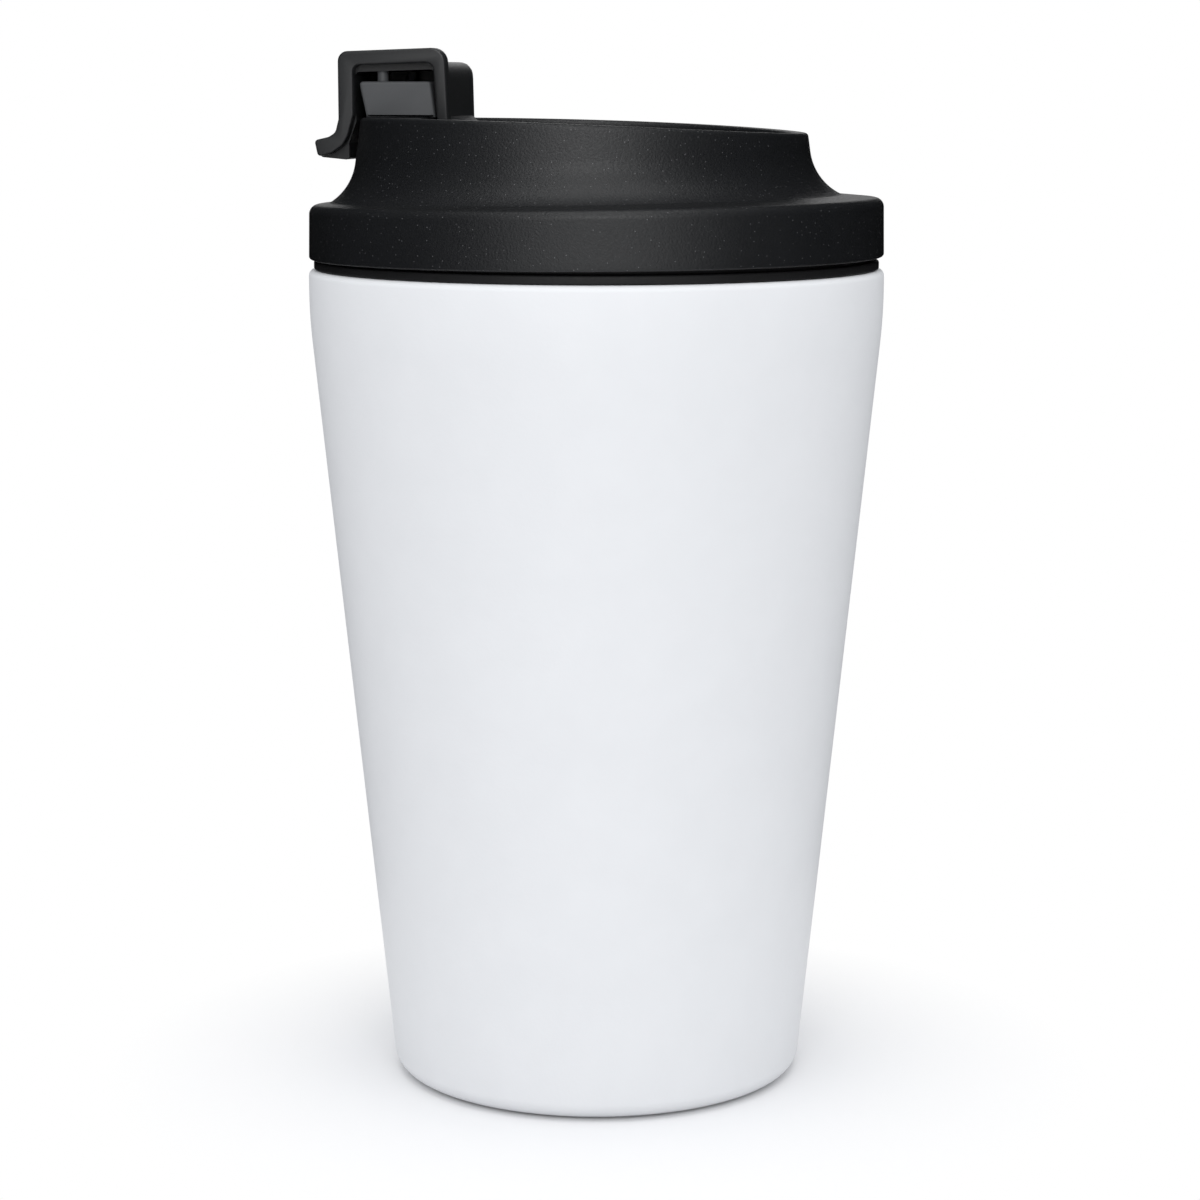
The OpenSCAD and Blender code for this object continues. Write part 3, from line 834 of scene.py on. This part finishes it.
def strap_frame():
    """Side view of the cap's near frame, a strap that ends in the thumb hook."""
    top = CAP_TOP_Z
    outer = [(-LEG_X - 0.5, top)]
    outer += [(-OUT_LEG_X, top - CAP_FALL)]
    outer += [(-OUT_LEG_X, SEAT_Z - 0.2), (-OUT_LEG_X - 0.5, SEAT_Z - 2.1)]
    outer += [(-OUT_LEG_X - 1.5, HOOK_Z + 3.25), (-HOOK_X + 0.05, HOOK_Z + 2.75)]
    outer += [(-HOOK_X + 0.55, HOOK_Z + 0.4), (-OUT_LEG_X - 1.1, HOOK_Z + 0.85)]
    inner = [(-OUT_LEG_X + 0.6, HOOK_Z + 2.0), (-OUT_LEG_IN_X - 0.9, SEAT_Z - 2.7)]
    inner += [(-OUT_LEG_IN_X, SEAT_Z + 0.4)]
    inner += [(-OUT_LEG_IN_X, top - FRAME_T - 0.7 * CAP_FALL)]
    inner += [(-LEG_IN_X - FRAME_LEAN, top - FRAME_T), (-LEG_IN_X, LEG_FOOT_Z), (-LEG_X, LEG_FOOT_Z)]
    radii = [FRAME_IN_R, FRAME_OUT_R, 0.8, 1.2, 1.6, 0.5, 0.5, 1.4, 1.6, 3.0, 1.5, 0.9, 1.2, 0.4, 0.4]
    return rounded(outer + inner, radii, 6)


def hood_line(space_top):
    """Side view of the hood behind the frame: walls, top and the filled thumb hook."""
    top = CAP_TOP_Z - HOOD_DROP
    outer = [(-LEG_X - HOOD_IN, LEG_FOOT_Z), (-LEG_X - HOOD_IN - 0.5, top)]
    outer += [(-OUT_LEG_X + HOOD_IN, top - CAP_FALL), (-OUT_LEG_X + HOOD_IN, SEAT_Z - 0.3)]
    outer += [(-OUT_LEG_X - 0.2, SEAT_Z - 2.1), (-OUT_LEG_X - 1.5, HOOK_Z + 3.1)]
    outer += [(-HOOK_X + 0.1, HOOK_Z + 2.65), (-HOOK_X + 0.6, HOOK_Z + 0.3)]
    outer.append((-OUT_LEG_IN_X - HOOK_FILL_OUT, HOOK_Z - 0.1))
    outer.append((-OUT_LEG_IN_X - HOOK_FILL_OUT, HOOK_Z + HOOK_FILL_H))
    inner = [(-OUT_LEG_IN_X, SEAT_Z - 0.5), (-OUT_LEG_IN_X, space_top - 0.7 * CAP_FALL)]
    inner += [(-LEG_IN_X - LEG_LEAN, space_top), (-LEG_IN_X, LEG_FOOT_Z)]
    radii = [0.2, HOOD_IN_R, FRAME_OUT_R - 0.1, 0.8, 1.2, 1.5, 0.45, 0.5, 0.5, 0.6, 0.3, 0.5, 0.5, 0.2]
    return rounded(outer + inner, radii, 6)


def make_cap():
    half = CAP_W / 2
    back = -half + FRAME_W
    corner_x = -LEG_X - HOOD_IN - HOOD_CORNER_R
    corner_y = half - HOOD_CORNER_R
    space_top = CAP_TOP_Z - HOOD_DROP - HOOD_T

    def turned_corner(x, y, z):
        """Draws the hinge side in where the hood's far corner is round."""
        past = y - corner_y
        if past <= 0 or x <= corner_x or x < -LEG_IN_X - LEG_LEAN + 0.05:
            return (x, y, z)
        reach = math.sqrt(max(0, HOOD_CORNER_R ** 2 - past ** 2))
        return (min(x, corner_x + reach), y, z)

    mesh = bmesh.new()
    add_slab(mesh, strap_frame(), -half, back, 0.3, 0)
    add_slab(mesh, hood_line(space_top), back - 0.3, half, 0, 0.7, shape=turned_corner)
    wall_top = space_top + 0.3
    wall = [(-OUT_LEG_IN_X - 0.3, SEAT_Z + 0.35), (-LEG_IN_X - 1.2, SEAT_Z + 0.35)]
    wall += [(-LEG_IN_X - LEG_LEAN - 1.2, wall_top), (-OUT_LEG_IN_X - 0.3, wall_top - 0.7 * CAP_FALL)]
    add_slab(mesh, wall, half - END_WALL, half - 0.05, 0, 0.2)
    barrel = arc((-PIVOT_X, PIVOT_Z), KNUCKLE_R, 0, 352.5, 47)
    add_slab(mesh, barrel, -KNUCKLE_W / 2, KNUCKLE_W / 2, 0.25, 0.25)
    web = [(-LEG_X - 0.05, PIVOT_Z), (-LEG_X - 0.1, SEAT_Z - 0.6), (-LEG_X - HOOD_IN - 0.2, SEAT_Z + 0.4)]
    web += [(-LEG_IN_X, SEAT_Z + 0.4), (-LEG_IN_X, PIVOT_Z)]
    add_slab(mesh, web, -KNUCKLE_W / 2, KNUCKLE_W / 2, 0.2, 0.2)
    piece = finished("cap_hood", mesh, "cap", cap_plastic, 35)
    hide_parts("flip_cap")


def make_stopper():
    outer_x = OUT_LEG_IN_X - STOPPER_CLEAR
    inner_x = LEG_IN_X + STOPPER_CLEAR
    block = [(-outer_x + 1.5 * STOPPER_LEAN, SEAT_Z + 0.02), (-inner_x, SEAT_Z + 0.02)]
    block += [(-inner_x - STOPPER_LEAN, SEAT_Z + STOPPER_H), (-outer_x, SEAT_Z + STOPPER_H)]
    mesh = bmesh.new()
    add_slab(mesh, rounded(block, [0.15, 0.15, 0.5, 0.5]), -STOPPER_NEAR, STOPPER_FAR, 0.4, 0.4)
    plug = [(-SLOT_OUT_X + PLUG_CLEAR, SEAT_Z + 0.3), (-SLOT_IN_X - PLUG_CLEAR, SEAT_Z + 0.3)]
    plug += [(-SLOT_IN_X - 4 * PLUG_CLEAR, SEAT_Z - PLUG_DEPTH)]
    plug += [(-SLOT_OUT_X + 2 * PLUG_CLEAR, SEAT_Z - PLUG_DEPTH)]
    reach = SLOT_W / 2 - PLUG_END_CLEAR
    add_slab(mesh, rounded(plug, [0, 0, 0.5, 0.5]), -reach, reach, 0.8, 0.8)
    for side in (-1, 1):
        add_rod(mesh, -PEG_X, side * PEG_Y, PEG_R, SEAT_Z + STOPPER_H - 0.1,
                CAP_TOP_Z - HOOD_DROP, 0.3)
    piece = finished("stopper_block", mesh, "cap", soft_grey, 35)
    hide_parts("stopper")


make_cap()
make_stopper()


# Floor, world and lamps

SHADOW_NEAR = 0.036
SHADOW_FAR = 0.075
FLOOR_HALF = 6
FLOOR_LIFT = 0.04
WORLD_LIGHT = 0.8
LAMP_AIM_Z = 0.08

# Black cards stand at the sides and hang above; degrees are counted from the camera's side
CARD_FROM = 32
CARD_TO = 168
CARD_R = 1.5
CARD_IN_R = 0.1
CARD_LOW = 0.002
CARD_HIGH = 1.5


def make_floor():
    """White floor that keeps the object's soft shadow and is plain white away from it."""
    material, tree, shader = new_material("floor")
    tree.nodes.remove(shader)
    lit = add_node(tree, "ShaderNodeBsdfDiffuse", Color=(0.82, 0.82, 0.83, 1))
    lift = add_node(tree, "ShaderNodeEmission", Color=(1, 1, 1, 1), Strength=FLOOR_LIFT)
    plain = add_node(tree, "ShaderNodeEmission", Color=(1, 1, 1, 1), Strength=1.0)
    near = tree.nodes.new("ShaderNodeAddShader")
    tree.links.new(lit.outputs[0], near.inputs[0])
    tree.links.new(lift.outputs[0], near.inputs[1])
    place = tree.nodes.new("ShaderNodeTexCoord")
    reach = tree.nodes.new("ShaderNodeVectorMath")
    reach.operation = "LENGTH"
    tree.links.new(place.outputs["Object"], reach.inputs[0])
    away = remap(tree, reach.outputs["Value"], SHADOW_NEAR, SHADOW_FAR, 0, 1)
    seen = tree.nodes.new("ShaderNodeMixShader")
    tree.links.new(away, seen.inputs["Fac"])
    tree.links.new(near.outputs[0], seen.inputs[1])
    tree.links.new(plain.outputs[0], seen.inputs[2])
    paths = tree.nodes.new("ShaderNodeLightPath")
    looks = tree.nodes.new("ShaderNodeMath")
    looks.operation = "MAXIMUM"
    tree.links.new(paths.outputs["Is Camera Ray"], looks.inputs[0])
    tree.links.new(paths.outputs["Is Glossy Ray"], looks.inputs[1])
    bounce = add_node(tree, "ShaderNodeBsdfDiffuse", Color=(0.7, 0.7, 0.71, 1))
    choice = tree.nodes.new("ShaderNodeMixShader")
    tree.links.new(looks.outputs[0], choice.inputs["Fac"])
    tree.links.new(bounce.outputs[0], choice.inputs[1])
    tree.links.new(seen.outputs[0], choice.inputs[2])
    tree.links.new(choice.outputs[0], tree.nodes["Material Output"].inputs["Surface"])
    data = bpy.data.meshes.new("floor")
    corners = [(-FLOOR_HALF, -FLOOR_HALF, 0), (FLOOR_HALF, -FLOOR_HALF, 0)]
    corners += [(FLOOR_HALF, FLOOR_HALF, 0), (-FLOOR_HALF, FLOOR_HALF, 0)]
    data.from_pydata(corners, [], [(0, 1, 2, 3)])
    data.materials.append(material)
    floor = bpy.data.objects.new("floor", data)
    scene.collection.objects.link(floor)


def make_world():
    """Even white light all round, and plain white wherever the background itself shows."""
    world = bpy.data.worlds.new("world")
    world.use_nodes = True
    tree = world.node_tree
    ambient = tree.nodes["Background"]
    ambient.inputs["Color"].default_value = (0.97, 0.985, 1, 1)
    ambient.inputs["Strength"].default_value = WORLD_LIGHT
    white = add_node(tree, "ShaderNodeBackground", Color=(1, 1, 1, 1), Strength=1.0)
    paths = tree.nodes.new("ShaderNodeLightPath")
    looks = tree.nodes.new("ShaderNodeMath")
    looks.operation = "MAXIMUM"
    mirrored = tree.nodes.new("ShaderNodeMath")
    mirrored.operation = "MAXIMUM"
    tree.links.new(paths.outputs["Is Glossy Ray"], mirrored.inputs[0])
    tree.links.new(paths.outputs["Is Transmission Ray"], mirrored.inputs[1])
    tree.links.new(paths.outputs["Is Camera Ray"], looks.inputs[0])
    tree.links.new(mirrored.outputs[0], looks.inputs[1])
    choice = tree.nodes.new("ShaderNodeMixShader")
    tree.links.new(looks.outputs[0], choice.inputs["Fac"])
    tree.links.new(ambient.outputs[0], choice.inputs[1])
    tree.links.new(white.outputs[0], choice.inputs[2])
    tree.links.new(choice.outputs[0], tree.nodes["World Output"].inputs["Surface"])
    scene.world = world


def add_lamp(name, azimuth, distance, height, width, tall, watts):
    """A soft box that faces the middle of the object."""
    data = bpy.data.lights.new(name, "AREA")
    data.shape = "RECTANGLE"
    data.size = width
    data.size_y = tall
    data.energy = watts
    lamp = bpy.data.objects.new(name, data)
    lamp.location = around(CAMERA_AZIMUTH + math.radians(azimuth), distance, height)
    lamp.rotation_euler = (Vector((0, 0, LAMP_AIM_Z)) - lamp.location).to_track_quat("-Z", "Y").to_euler()
    scene.collection.objects.link(lamp)


def make_cards():
    """Black cards at the sides and above, which only reflections show."""
    material, tree, shader = new_material("black_card")
    shader.inputs["Base Color"].default_value = (0, 0, 0, 1)
    shader.inputs["Specular IOR Level"].default_value = 0
    mesh = bmesh.new()
    for side in (-1, 1):
        rings = []
        for radius, height in ((CARD_IN_R, CARD_LOW), (CARD_R, CARD_LOW), (CARD_R, CARD_HIGH)):
            ring = []
            for i in range(25):
                turn = math.radians(side * (CARD_FROM + (CARD_TO - CARD_FROM) * i / 24))
                ring.append(around(CAMERA_AZIMUTH + turn, radius, height))
            rings.append(ring)
        add_rings(mesh, rings, closed_rings=False)
    roof = [mesh.verts.new(around(TURN * i / 48, CARD_R, CARD_HIGH)) for i in range(48)]
    mesh.faces.new(roof)
    data = bpy.data.meshes.new("cards")
    mesh.to_mesh(data)
    mesh.free()
    data.materials.append(material)
    cards = bpy.data.objects.new("cards", data)
    scene.collection.objects.link(cards)
    cards.visible_camera = False
    cards.visible_diffuse = False
    cards.visible_shadow = False
    cards.visible_transmission = False


make_floor()
make_world()
make_cards()
add_lamp("front", azimuth=0, distance=1.1, height=0.75, width=0.7, tall=0.5, watts=3.9)
add_lamp("top", azimuth=0, distance=0.25, height=1.2, width=0.8, tall=0.8, watts=4.4)

scene.view_settings.view_transform = "Standard"
